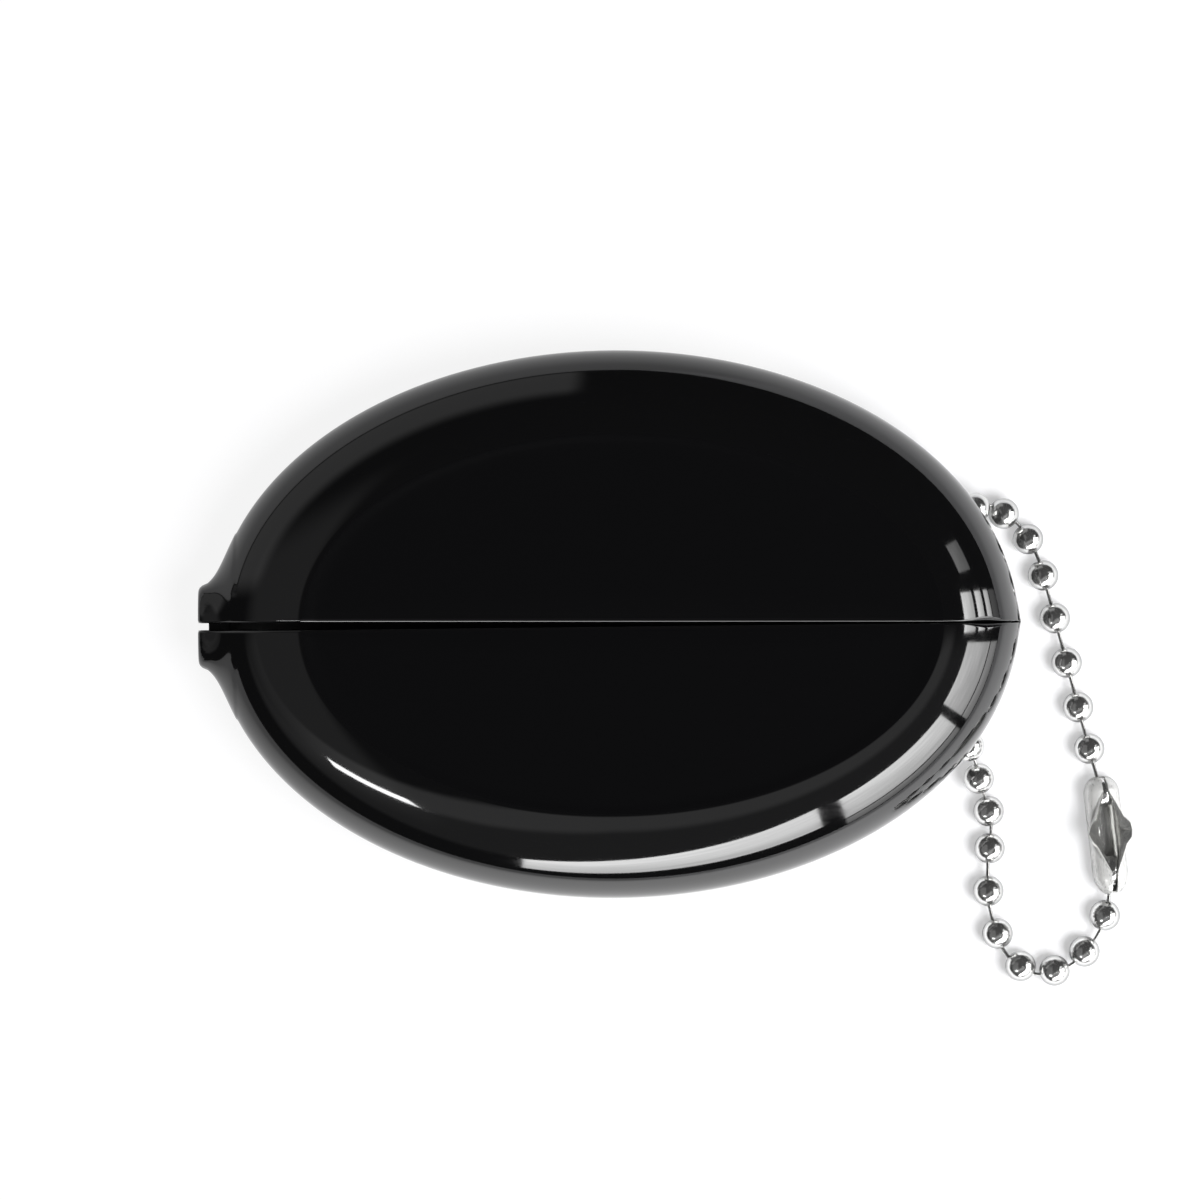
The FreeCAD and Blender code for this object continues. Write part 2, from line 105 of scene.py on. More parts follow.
half_low, half_high = (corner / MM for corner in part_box("upper_half"))
CHAIN_END = half_high.x
HALF_WIDTH = half_high.y
MIDDLE = half_high.z / 2
NUB_FACE = half_low.x
NOTCH_FLOOR = NUB_FACE + NOTCH_DEPTH

# Rows go from the back panel's edge over the rim to the front panel's edge, columns from the chain to the nub
ROW_COUNT = 79
ROW_ANGLES = np.radians(np.linspace(-SHOULDER_DEGREES, SHOULDER_DEGREES, ROW_COUNT))
RIM_ROW = len(ROW_ANGLES) // 2
COLUMN_ANGLES = np.radians(np.concatenate([
    [0, 0.12, 0.5], np.arange(1, 50, 1), np.arange(50, 130, 2), np.arange(130, 160, 1),
    np.arange(160, 179.1, 0.5), [179.5, 179.88, 180],
]))


def oval(level, skin):
    """How far the pouch reaches to the chain, to the nub and across, at heights above the table."""
    sine = np.clip((level - MIDDLE) / (MIDDLE - skin), -1, 1) * math.sin(SHOULDER_ANGLE)
    inset = SHOULDER_WIDTH * (1 - np.sqrt(1 - sine ** 2)) / (1 - math.cos(SHOULDER_ANGLE))
    to_chain = CHAIN_END - skin - CHAIN_SHOULDER_SHARE * inset
    to_nub = CHAIN_END - skin - NUB_SHOULDER_SHARE * inset
    return to_chain, to_nub, HALF_WIDTH - skin - inset


def row_levels(skin):
    """The height of each row."""
    share = np.sin(ROW_ANGLES) / math.sin(SHOULDER_ANGLE)
    if skin:
        stretch = MIDDLE / (MIDDLE - skin)
        bend = SAME_LEVEL_SHARE * stretch
        beyond = bend + (np.abs(share) - SAME_LEVEL_SHARE) * (1 - bend) / (1 - SAME_LEVEL_SHARE)
        share = np.sign(share) * np.where(np.abs(share) < SAME_LEVEL_SHARE, np.abs(share) * stretch, beyond)
    return MIDDLE + (MIDDLE - skin) * share


def nub_reach(across, level):
    """Where the nub's skin lies along X, over places across and up its face."""
    near = np.zeros_like(across)
    far = np.ones_like(across)

    def outside(share):
        spread = share ** NUB_FLARE_POWER
        wide, tall = (face + (root - face) * spread for face, root in zip(NUB_FACE_HALF, NUB_ROOT_HALF))
        return (across / wide) ** 2 + ((level - MIDDLE) / tall) ** 2 > 1

    beyond = outside(far)
    for _ in range(NUB_HALVINGS):
        half = (near + far) / 2
        out = outside(half)
        near = np.where(out, half, near)
        far = np.where(out, far, half)
    # The face's edge is rounded over, from the flat face to the flaring side
    spread = (NUB_ROUND / NUB_FLARE) ** NUB_FLARE_POWER
    wide, tall = (face + (root - face) * spread for face, root in zip(NUB_FACE_HALF, NUB_ROOT_HALF))
    share = np.hypot(across / wide, (level - MIDDLE) / tall) + 1e-9
    from_edge = np.clip((1 / share - 1) * np.hypot(across, level - MIDDLE), 0, NUB_ROUND)
    rounded = NUB_ROUND - np.sqrt(NUB_ROUND ** 2 - (NUB_ROUND - from_edge) ** 2)
    depth = np.where(share < 1, rounded, NUB_FLARE * far)
    return np.where(beyond, CHAIN_END, NUB_FACE + depth)


def skin_place(across, level, towards_chain, skin):
    """Points of the pouch's skin at distances across from the slit, at a height, on one end or the other."""
    to_chain, to_nub, half_width = oval(level, skin)
    along = np.where(towards_chain, to_chain, -to_nub) * np.sqrt(np.clip(1 - (across / half_width) ** 2, 0, 1))
    if not skin:
        fullness = 1 - ((level - MIDDLE) / MIDDLE) ** 2
        point = CHAIN_POINT * fullness * np.exp(-np.abs(across) / CHAIN_POINT_WIDTH)
        along = np.where(towards_chain, along + point, along)
        nub = nub_reach(across, level)
        mix = np.clip(0.5 + (nub - along) / (2 * NUB_FILLET), 0, 1)
        joined = nub + (along - nub) * mix - NUB_FILLET * mix * (1 - mix)
        along = np.where(towards_chain, along, np.minimum(along, joined))
    return np.stack([along, across, level], axis=-1)


def smooth(share):
    """A smooth step from 0 to 1."""
    share = np.clip(share, 0, 1)
    return share * share * (3 - 2 * share)


def slit_edges():
    """For each row, half the slit and its lip's radius at the chain end, then both at the nub."""
    front = np.degrees(np.clip(ROW_ANGLES, 0, None))
    pinch = LIP_PINCH * np.sin(math.pi * np.clip((front - PINCH_START) / PINCH_SPAN, 0, 1)) ** 2
    chain_half = SLIT_HALF_AT_CHAIN * smooth(front / SLIT_OPEN_AT)
    chain_lip = (LIP_RADIUS_AT_CHAIN + pinch) * smooth(front / LIP_FULL_AT)
    nub_half = np.full_like(front, SLIT_HALF_AT_NUB)
    nub_lip = LIP_RADIUS * smooth(front / SLIT_OPEN_AT)
    return chain_half, chain_lip, nub_half, nub_lip


def skin_rows(skin):
    """The grid of the shoulders and rim, with three more columns at the nub for the notch and the seam."""
    levels = row_levels(skin)[:, None] + np.zeros(len(COLUMN_ANGLES))
    chain_half, chain_lip, nub_half, nub_lip = slit_edges()
    to_chain = (1 + np.cos(COLUMN_ANGLES)) / 2
    edge_chain = chain_half + (0 if skin else chain_lip)
    edge_nub = nub_half + (0 if skin else nub_lip)
    edge = edge_chain[:, None] * to_chain + edge_nub[:, None] * (1 - to_chain)
    half_width = oval(levels, skin)[2]
    across = edge + (half_width - edge) * np.sin(COLUMN_ANGLES)
    rows = skin_place(across, levels, np.cos(COLUMN_ANGLES) > 0, skin)
    extra = []
    for width in (SLIT_HALF_AT_NUB, SEAM_STRIP, 0.0):
        column = skin_place(np.full(len(levels), width), levels[:, 0], False, skin)
        column[:, 0] = np.maximum(column[:, 0], NOTCH_FLOOR)
        extra.append(column[:, None])
    return np.concatenate([rows] + extra, axis=1)


def slot_frame():
    """The middle of the slot on the rim, and the direction along the rim there."""
    along = CHAIN_END * math.sqrt(1 - (SLOT_ACROSS / HALF_WIDTH) ** 2)
    outward = np.array([along / CHAIN_END ** 2, SLOT_ACROSS / HALF_WIDTH ** 2])
    outward /= np.linalg.norm(outward)
    return np.array([along, SLOT_ACROSS]), np.array([-outward[1], outward[0]])


def on_slot_edge(points, skin, along_rim, level):
    """Points of the skin at distances along the rim from the slot's middle, at given heights."""
    middle, direction = slot_frame()
    across = points[:, 1].copy()
    half_length, _, half_width = oval(level, skin)
    for _ in range(SLOT_STEPS):
        along = half_length * np.sqrt(1 - (across / half_width) ** 2)
        miss = (along - middle[0]) * direction[0] + (across - middle[1]) * direction[1] - along_rim
        slope = -half_length ** 2 * across / (half_width ** 2 * along)
        across -= miss / (slope * direction[0] + direction[1])
    return skin_place(across, level, True, skin)


def punch_slot(outer, inner):
    """Which cells of the grid the slot takes away. The vertices round them move onto the slot's outline."""
    middle, direction = slot_frame()
    along_rim = (outer[..., 0] - middle[0]) * direction[0] + (outer[..., 1] - middle[1]) * direction[1]
    core = np.clip(along_rim, -SLOT_HALF_STRAIGHT, SLOT_HALF_STRAIGHT)
    from_core = np.stack([along_rim - core, outer[..., 2] - SLOT_LEVEL], axis=-1)
    distance = np.linalg.norm(from_core, axis=-1)
    inside = (distance < SLOT_RADIUS) & (outer[..., 0] > 0)
    gone = inside[:-1, :-1] & inside[1:, :-1] & inside[:-1, 1:] & inside[1:, 1:]
    padded = np.pad(gone, 1)
    touching = [padded[:-1, :-1], padded[1:, :-1], padded[:-1, 1:], padded[1:, 1:]]
    edge = np.any(touching, axis=0) & ~np.all(touching, axis=0)
    outline = from_core[edge] * (SLOT_RADIUS / distance[edge])[:, None]
    places = outline[:, 0] + core[edge]
    levels = outline[:, 1] + SLOT_LEVEL
    outer[edge] = on_slot_edge(outer[edge], 0, places, levels)
    inner[edge] = on_slot_edge(inner[edge], WALL, places, levels)
    return gone


def panel(ring, edges, level, sink=0):
    """A panel from its rounded edge to the slit or to the seam, sunk a little where the moulding shrank."""
    shares = np.array(PANEL_SHARES)[:, None]
    across = ring[:, 1] + (edges - ring[:, 1]) * shares
    along = np.broadcast_to(ring[:, 0], across.shape)
    half_length = np.where(along > 0, ring[:, 0].max(), -ring[:, 0].min())
    half_width = ring[:, 1].max()
    from_edge = (1 - np.hypot(along / half_length, across / half_width)) * half_width
    return np.stack([along, across, level - sink * smooth(from_edge / PANEL_SINK_WIDTH)], axis=-1)


def lip(points, normals, radii, inner_edge):
    """The slit's lip, section by section: a rounded outer edge, then straight in to the inner wall."""
    turns = np.linspace(0, math.pi / 2, LIP_ARC_STEPS + 1)
    down = np.array([0.0, 1.0, 0.0])
    centre = points - normals * radii[:, None]
    arcs = [centre + radii[:, None] * (normals * math.cos(turn) - down * math.sin(turn)) for turn in turns]
    last = arcs[-1]
    run = inner_edge[:, 0] - last[:, 0]
    share = np.where(last[:, 0] < NOTCH_FLOOR, (NOTCH_FLOOR - last[:, 0]) / np.where(run > 0, run, 1), 0)
    step = last + (inner_edge - last) * share[:, None]
    return np.stack(arcs + [step, inner_edge], axis=1)


def profile_normals(column):
    """Outward directions, in the plane of the slit, along a column of the grid."""
    along = np.gradient(column, axis=0)
    normals = np.stack([along[:, 2], np.zeros(len(along)), -along[:, 0]], axis=-1)
    normals /= np.linalg.norm(normals, axis=1)[:, None]
    outward = column - np.array([0, 0, MIDDLE])
    return normals * np.sign(np.sum(normals * outward, axis=1))[:, None]


def half_sections():
    """Every patch of one half of the pouch: its points, the cells to leave out, its lining and its finish."""
    outer = skin_rows(0)
    inner = skin_rows(WALL)
    gone = punch_slot(outer, inner)
    # In front of the rim the slit ends the grid, so the seam's columns are only behind it
    front_seam = np.zeros_like(gone)
    front_seam[RIM_ROW:, len(COLUMN_ANGLES) - 1:] = True
    patches = [(outer, gone | front_seam, 0, POLISHED), (inner, gone | front_seam, 1, POLISHED)]

    columns = len(COLUMN_ANGLES)
    chain_half, chain_lip, nub_half, nub_lip = slit_edges()
    to_chain = (1 + np.cos(COLUMN_ANGLES)) / 2
    gap = chain_half[-1] * to_chain + nub_half[-1] * (1 - to_chain)
    radius = chain_lip[-1] * to_chain + nub_lip[-1] * (1 - to_chain)
    front_outer = panel(outer[-1, :columns], gap + radius, 2 * MIDDLE, PANEL_SINK)
    front_inner = panel(inner[-1, :columns], gap, 2 * MIDDLE - WALL)
    back_outer = panel(outer[0], np.zeros(columns + 3), 0)
    back_inner = panel(inner[0], np.zeros(columns + 3), WALL)
    patches += [(grid, None, 0, SATIN) for grid in (front_outer, back_outer)]
    patches += [(grid, None, 1, POLISHED) for grid in (front_inner, back_inner)]

    # The wall's own edge: up the chain end, along the slit, down the nub, then back along the seam
    up = range(RIM_ROW, len(ROW_ANGLES))
    chain_end = lip(outer[up, 0], profile_normals(outer[:, 0])[up], chain_lip[up], inner[up, 0])
    straight_up = np.tile([0.0, 0.0, 1.0], (columns, 1))
    along_slit = lip(front_outer[-1], straight_up, radius, front_inner[-1])
    nub_column = columns - 1
    nub_normals = profile_normals(outer[:, nub_column])[up]
    nub_end = lip(outer[up, nub_column], nub_normals, nub_lip[up], inner[up, nub_column])[::-1]
    steps = chain_end.shape[1] - 1

    def section(outside, inside):
        return np.array([outside] * steps + [inside])

    seam = [section(outer[RIM_ROW, columns], inner[RIM_ROW, nub_column])]
    seam += [section(outer[RIM_ROW, columns + 1], inner[RIM_ROW, columns + 1])]
    seam += [section(outer[row, -1], inner[row, -1]) for row in range(RIM_ROW, -1, -1)]
    seam += [section(a, b) for a, b in zip(back_outer[-1, ::-1], back_inner[-1, ::-1])]
    seam += [section(outer[row, 0], inner[row, 0]) for row in range(RIM_ROW + 1)]
    ring = np.concatenate([chain_end, along_slit, nub_end, np.array(seam)])
    patches.append((ring, None, [0] * steps + [1], POLISHED))
    return patches, outer, inner, gone


def slot_wall(outer, inner, gone):
    """Four-cornered faces through the wall, round the slot."""
    faces = []
    rows, columns = gone.shape
    for row in range(rows):
        for column in range(columns):
            if not gone[row, column]:
                continue
            corners = [(row, column), (row, column + 1), (row + 1, column + 1), (row + 1, column)]
            beside = [(row - 1, column), (row, column + 1), (row + 1, column), (row, column - 1)]
            for number, cell in enumerate(beside):
                if not gone[cell]:
                    start, end = corners[number], corners[(number + 1) % 4]
                    faces.append((outer[start], outer[end], inner[end], inner[start]))
    return faces


def half_mesh(name, side):
    """One half of the pouch as a closed mesh, mirrored across the slit where side is -1."""
    patches, outer, inner, gone = half_sections()
    corners, faces, inside, finishes = [], [], [], []
    for grid, left_out, lining, finish in patches:
        start = sum(len(block) for block in corners)
        rows, columns = grid.shape[:2]
        corners.append(grid.reshape(-1, 3))
        inside.append(np.broadcast_to(lining, (rows, columns)).ravel())
        for row in range(rows - 1):
            for column in range(columns - 1):
                if left_out is None or not left_out[row, column]:
                    first = start + row * columns + column
                    faces.append((first, first + 1, first + columns + 1, first + columns))
                    finishes.append(finish)
    for face in slot_wall(outer, inner, gone):
        start = sum(len(block) for block in corners)
        corners.append(np.array(face))
        inside.append(np.array([0, 0, 1, 1]))
        faces.append(tuple(range(start, start + 4)))
        finishes.append(POLISHED)
    places = np.concatenate(corners) * MM * np.array([1, side, 1])

    mesh = bpy.data.meshes.new(name)
    mesh.from_pydata(places.tolist(), [], faces)
    mesh.polygons.foreach_set("material_index", finishes)
    lining = mesh.attributes.new("inside", "FLOAT", "POINT")
    lining.data.foreach_set("value", np.concatenate(inside).astype(float))
    work = bmesh.new()
    work.from_mesh(mesh)
    bmesh.ops.remove_doubles(work, verts=work.verts, dist=MERGE_DISTANCE)
    bmesh.ops.dissolve_degenerate(work, edges=work.edges, dist=MERGE_DISTANCE)
    bmesh.ops.recalc_face_normals(work, faces=work.faces)
    for face in work.faces:
        face.smooth = True
    work.to_mesh(mesh)
    work.free()
    mesh.set_sharp_from_angle(angle=SHARP_ANGLE)
    return mesh


def linear(hex_colour):
    """An sRGB hex colour as linear red, green, blue and alpha."""
    shares = [int(hex_colour[place:place + 2], 16) / 255 for place in (1, 3, 5)]
    return [s / 12.92 if s <= 0.04045 else ((s + 0.055) / 1.055) ** 2.4 for s in shares] + [1.0]


def add(tree, kind, inputs=None, **settings):
    """A node with its settings, and its inputs set or linked."""
    made = tree.nodes.new(kind)
    for name, value in settings.items():
        setattr(made, name, value)
    for socket, value in (inputs or {}).items():
        if isinstance(value, bpy.types.NodeSocket):
            tree.links.new(value, made.inputs[socket])
        else:
            made.inputs[socket].default_value = value
    return made


def surface(name):
    """A new material with its tree, its shader and the piece's own coordinates."""
    material = bpy.data.materials.new(name)
    material.use_nodes = True
    tree = material.node_tree
    shader = tree.nodes["Principled BSDF"]
    places = add(tree, "ShaderNodeTexCoord").outputs["Object"]
    return material, tree, shader, places


# Plasticised vinyl, moulded in a polished tool: near black right through, with a wet gloss outside, satin
# panels and a dull lining. The skin is a little wavy over several millimetres, and faint hair scratches soften
# its gloss.
VINYL_IOR = 1.8
VINYL_WAVE = 7.0
VINYL_SCRATCH = 0.5
SCRATCH_STRETCH = 0.06
LINING_ROUGHNESS = 0.6
vinyls = []
for name, black, shine, smoothest, roughest in (
    ("moulded_black_vinyl", "#080809", 0.5, 0.045, 0.075),
    ("satin_black_vinyl", "#0c0c0d", 0.02, 0.29, 0.31),
):
    vinyl, tree, shader, places = surface(name)
    shader.inputs["Base Color"].default_value = linear(black)
    shader.inputs["IOR"].default_value = VINYL_IOR
    shader.inputs["Specular IOR Level"].default_value = shine
    waves = add(tree, "ShaderNodeTexNoise", {"Vector": places, "Scale": 1 / (VINYL_WAVE * MM), "Detail": 1.0})
    stretched = add(tree, "ShaderNodeMapping", {"Vector": places, "Scale": (SCRATCH_STRETCH, 1, 1)})
    hairs = add(tree, "ShaderNodeTexNoise", {
        "Vector": stretched.outputs["Vector"], "Scale": 1 / (VINYL_SCRATCH * MM), "Detail": 3.0,
    })
    gloss = add(tree, "ShaderNodeMapRange", {
        "Value": hairs.outputs["Fac"], "From Min": 0.4, "From Max": 0.8,
        "To Min": smoothest, "To Max": roughest,
    })
    ripple = add(tree, "ShaderNodeBump", {
        "Height": waves.outputs["Fac"], "Strength": 0.5, "Distance": 0.02 * MM,
    })
    lining = add(tree, "ShaderNodeAttribute", attribute_name="inside")
    dull = add(tree, "ShaderNodeMath", {0: lining.outputs["Fac"], 1: LINING_ROUGHNESS}, operation="MULTIPLY")
    either = add(tree, "ShaderNodeMath", {0: gloss.outputs["Result"], 1: dull.outputs[0]}, operation="MAXIMUM")
    tree.links.new(either.outputs[0], shader.inputs["Roughness"])
    tree.links.new(ripple.outputs["Normal"], shader.inputs["Normal"])
    vinyls.append(vinyl)

for half, side, body, stands_for in (
    ("upper", 1, "pouch_upper", ("upper_half", "back_spine")),
    ("lower", -1, "pouch_lower", ("lower_half",)),
):
    pouch_half = bpy.data.objects.new(f"pouch_{half}_skin", half_mesh(f"pouch_{half}_skin", side))
    bpy.context.scene.collection.objects.link(pouch_half)
    for vinyl in vinyls:
        pouch_half.data.materials.append(vinyl)
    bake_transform(pouch_half)
    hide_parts(*stands_for)

# The chain's beads: hollow balls rolled from plated steel strip, each with a hole at both ends where the
# strip turns in. They sit where the solids of the chain sit, strung on pins.
BEAD_HOLE = 0.6
BEAD_DIMPLE = 0.4
BEAD_SEGMENTS = 32
BEAD_RINGS = 48

nodes_of = frame["record"]["behaviour"]["bodies"]
bead_names = sorted(name for name in frame["nodes"] if name.startswith("bead_"))
pin_names = sorted(name for name in frame["nodes"] if name.startswith("pin_"))


def middle_of(node):
    """The middle of a solid's box."""
    low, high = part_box(node)
    return (low + high) / 2


bead_middles = {name: middle_of(name) for name in bead_names}
pin_middles = {name: middle_of(name) for name in pin_names}
# A pin points from one bead to the next, and a bead lies between the pins on its two sides
strung = [bead_middles[name] for name in bead_names]
threads = [pin_middles[name] for name in pin_names]
pin_axes = {
    name: (after - before).normalized() for name, before, after in zip(pin_names, strung[:-1], strung[1:])
}
bead_axes = {
    name: (after - before).normalized()
    for name, before, after in zip(bead_names, strung[:1] + threads, threads + strung[-1:])
}


def new_tree(name, sizes):
    """An empty geometry tree with a geometry input, named sizes and a geometry output."""
    tree = bpy.data.node_groups.new(name, "GeometryNodeTree")
    tree.interface.new_socket("Geometry", in_out="INPUT", socket_type="NodeSocketGeometry")
    for label in sizes:
        tree.interface.new_socket(label, in_out="INPUT", socket_type="NodeSocketFloat")
    tree.interface.new_socket("Geometry", in_out="OUTPUT", socket_type="NodeSocketGeometry")
    return tree


def string_up(tree, shape, material):
    """Sets a shape on every point, turned to the point's axis, as one real mesh of one material."""
    points = add(tree, "NodeGroupInput").outputs["Geometry"]
    axis = add(tree, "GeometryNodeInputNamedAttribute", {"Name": "axis"}, data_type="FLOAT_VECTOR")
    turn = add(tree, "FunctionNodeAlignRotationToVector", {"Vector": axis.outputs["Attribute"]}, axis="Z")
    rounded = add(tree, "GeometryNodeSetShadeSmooth", {"Geometry": shape})
    placed = add(tree, "GeometryNodeInstanceOnPoints", {
        "Points": points, "Instance": rounded.outputs["Geometry"], "Rotation": turn.outputs["Rotation"],
    })
    real = add(tree, "GeometryNodeRealizeInstances", {"Geometry": placed.outputs["Instances"]})
    finished = add(tree, "GeometryNodeSetMaterial", {
        "Geometry": real.outputs["Geometry"], "Material": material,
    })
    add(tree, "NodeGroupOutput", {"Geometry": finished.outputs["Geometry"]})


def strung_piece(name, tree, sizes, nodes, middles, axes, body):
    """The pieces of one body as one plain mesh that stands for their solids."""
    points = bpy.data.meshes.new(f"{name}_points")
    points.from_pydata([middles[node] for node in nodes], [], [])
    directions = points.attributes.new("axis", "FLOAT_VECTOR", "POINT")
    directions.data.foreach_set("vector", [value for node in nodes for value in axes[node]])
    piece = bpy.data.objects.new(name, points)
    bpy.context.scene.collection.objects.link(piece)
    modifier = piece.modifiers.new("strung", "NODES")
    modifier.node_group = tree
    for item in tree.interface.items_tree:
        if item.in_out == "INPUT" and item.name in sizes:
            modifier[item.identifier] = sizes[item.name] * MM
    depsgraph = bpy.context.evaluated_depsgraph_get()
    plain = bpy.data.meshes.new_from_object(piece.evaluated_get(depsgraph))
    piece.modifiers.remove(modifier)
    piece.data = plain
    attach(piece, body)
    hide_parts(*nodes)
    return piece


# Bright nickel on rolled steel: a mirror with a warm grey cast. Tumbling leaves shallow dents and scuffs a few
# tenths of a millimetre across, drawn a little coarser here so that they show.
SCUFF = 0.45
nickel, tree, shader, places = surface("tumbled_nickel_plate")
shader.inputs["Metallic"].default_value = 0.94
scuffs = add(tree, "ShaderNodeTexNoise", {"Vector": places, "Scale": 1 / (SCUFF * MM), "Detail": 4.0})
tint = add(tree, "ShaderNodeMix", {
    "Factor": scuffs.outputs["Fac"], "A": linear("#c9c9c8"), "B": linear("#ececeb"),
}, data_type="RGBA")
polish = add(tree, "ShaderNodeMapRange", {
    "Value": scuffs.outputs["Fac"], "From Min": 0.35, "From Max": 0.75, "To Min": 0.1, "To Max": 0.26,
})
dents = add(tree, "ShaderNodeBump", {
    "Height": scuffs.outputs["Fac"], "Strength": 0.6, "Distance": 0.03 * MM,
})
tree.links.new(tint.outputs["Result"], shader.inputs["Base Color"])
tree.links.new(polish.outputs["Result"], shader.inputs["Roughness"])
tree.links.new(dents.outputs["Normal"], shader.inputs["Normal"])

bead_tree = new_tree("strung_beads", ("Bead Radius", "Hole Radius", "Dimple Depth"))
sizes = add(bead_tree, "NodeGroupInput").outputs
ball = add(bead_tree, "GeometryNodeMeshUVSphere", {
    "Segments": BEAD_SEGMENTS, "Rings": BEAD_RINGS, "Radius": sizes["Bead Radius"],
})
spot = add(bead_tree, "GeometryNodeInputPosition")
place = add(bead_tree, "ShaderNodeSeparateXYZ", {"Vector": spot.outputs["Position"]})
flat = add(bead_tree, "ShaderNodeCombineXYZ", {"X": place.outputs["X"], "Y": place.outputs["Y"]})
radial = add(bead_tree, "ShaderNodeVectorMath", {0: flat.outputs["Vector"]}, operation="LENGTH")
share = add(bead_tree, "ShaderNodeMath", {
    0: radial.outputs["Value"], 1: sizes["Hole Radius"],
}, operation="DIVIDE")
square = add(bead_tree, "ShaderNodeMath", {0: share.outputs[0], 1: 2.0}, operation="POWER")
bowl = add(bead_tree, "ShaderNodeMath", {0: 1.0, 1: square.outputs[0]}, operation="SUBTRACT")
inside = add(bead_tree, "ShaderNodeMath", {0: bowl.outputs[0], 1: 0.0}, operation="MAXIMUM")
depth = add(bead_tree, "ShaderNodeMath", {0: inside.outputs[0], 1: sizes["Dimple Depth"]}, operation="MULTIPLY")
end = add(bead_tree, "ShaderNodeMath", {0: place.outputs["Z"]}, operation="SIGN")
inwards = add(bead_tree, "ShaderNodeMath", {0: end.outputs[0], 1: -1.0}, operation="MULTIPLY")
shift = add(bead_tree, "ShaderNodeMath", {0: depth.outputs[0], 1: inwards.outputs[0]}, operation="MULTIPLY")
dent = add(bead_tree, "ShaderNodeCombineXYZ", {"Z": shift.outputs[0]})
dimpled = add(bead_tree, "GeometryNodeSetPosition", {
    "Geometry": ball.outputs["Mesh"], "Offset": dent.outputs["Vector"],
})
string_up(bead_tree, dimpled.outputs["Geometry"], nickel)

bead_low, bead_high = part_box(bead_names[0])
BEAD_RADIUS = max(bead_high - bead_low) / 2 / MM
for body, members in nodes_of.items():
    own = [name for name in bead_names if name in members]
    if own:
        bead_sizes = {"Bead Radius": BEAD_RADIUS, "Hole Radius": BEAD_HOLE / 2, "Dimple Depth": BEAD_DIMPLE}
        strung_piece(f"beads_{body}", bead_tree, bead_sizes, own, bead_middles, bead_axes, body)

# The chain's pins: short steel wires with a head inside each bead, which show only between the beads.
# They are drawn wire, a little darker than the plated beads, and swell towards their heads.
PIN_RADIUS = 0.18
PIN_LENGTH = 2.75
PIN_SWELL_SHARE = 0.5
PIN_SIDES = 14
PIN_RINGS = 8
wire, tree, shader, places = surface("drawn_steel_wire")
shader.inputs["Metallic"].default_value = 1.0
shader.inputs["Base Color"].default_value = linear("#c2c2c1")
draw_marks = add(tree, "ShaderNodeTexNoise", {"Vector": places, "Scale": 1 / (SCUFF * MM), "Detail": 2.0})
dull = add(tree, "ShaderNodeMapRange", {"Value": draw_marks.outputs["Fac"], "To Min": 0.16, "To Max": 0.34})
tree.links.new(dull.outputs["Result"], shader.inputs["Roughness"])

pin_tree = new_tree("dumbbell_pins", ("Pin Radius", "Pin Length"))
sizes = add(pin_tree, "NodeGroupInput").outputs
rod = add(pin_tree, "GeometryNodeMeshCylinder", {
    "Vertices": PIN_SIDES, "Side Segments": PIN_RINGS,
    "Radius": sizes["Pin Radius"], "Depth": sizes["Pin Length"],
})
spot = add(pin_tree, "GeometryNodeInputPosition")
place = add(pin_tree, "ShaderNodeSeparateXYZ", {"Vector": spot.outputs["Position"]})
whole = add(pin_tree, "ShaderNodeMath", {0: place.outputs["Z"], 1: sizes["Pin Length"]}, operation="DIVIDE")
swell = add(pin_tree, "ShaderNodeMath", {0: whole.outputs[0], 1: 2.0}, operation="POWER")
wider = add(pin_tree, "ShaderNodeMath", {0: swell.outputs[0], 1: 4 * PIN_SWELL_SHARE}, operation="MULTIPLY")
flat = add(pin_tree, "ShaderNodeCombineXYZ", {"X": place.outputs["X"], "Y": place.outputs["Y"]})
out = add(pin_tree, "ShaderNodeVectorMath", {
    0: flat.outputs["Vector"], "Scale": wider.outputs[0],
}, operation="SCALE")
shaped = add(pin_tree, "GeometryNodeSetPosition", {
    "Geometry": rod.outputs["Mesh"], "Offset": out.outputs["Vector"],
})
string_up(pin_tree, shaped.outputs["Geometry"], wire)

for body, members in nodes_of.items():
    own = [name for name in pin_names if name in members]
    if own:
        pin_sizes = {"Pin Radius": PIN_RADIUS, "Pin Length": PIN_LENGTH}
        strung_piece(f"pins_{body}", pin_tree, pin_sizes, own, pin_middles, pin_axes, body)

# The coupling: a sheath folded from thin plated sheet. It grips the chain's two end beads in its round ends,
# and its mouth flares into two wings, over which a bead is pressed in or pulled out.
SHEET = 0.2
SHEATH_RADIUS = 1.66
THROAT_HALF = 0.25
MOUTH_HALF = 1.42
MOUTH_REACH = 4.3
END_EYE = 0.65
# The lower end is drawn out a little longer than round
LOWER_END_SHARE = 1.4
WING_LENGTH = 8.2
WING_TIP = 2.4
WING_HEIGHT = 0.7
TAB_LENGTH = 2.7
TAB_TIP = 1.5
TAB_HEIGHT = 0.45
WING_LEAN = math.radians(48)
MOUTH_ROLL = math.radians(-14)
SHEATH_STATIONS = 97
SHEATH_STEPS = 28
WING_STEPS = 4

upper_bead = bead_middles[bead_names[0]]
lower_bead = bead_middles[bead_names[-1]]
sheath_along = (lower_bead - upper_bead).normalized()
sheath_half = (lower_bead - upper_bead).length / 2 / MM
sheath_middle = (upper_bead + lower_bead) / 2
sheath_up = Vector((0, 0, 1))
sheath_side = sheath_up.cross(sheath_along).normalized()


def flap_rise(station, length, tip, height):
    """How high a flap stands at a place along the sheath: full over its tip, and sloping to both ends."""
    return height * min(max((length / 2 - abs(station)) / ((length - tip) / 2), 0), 1)


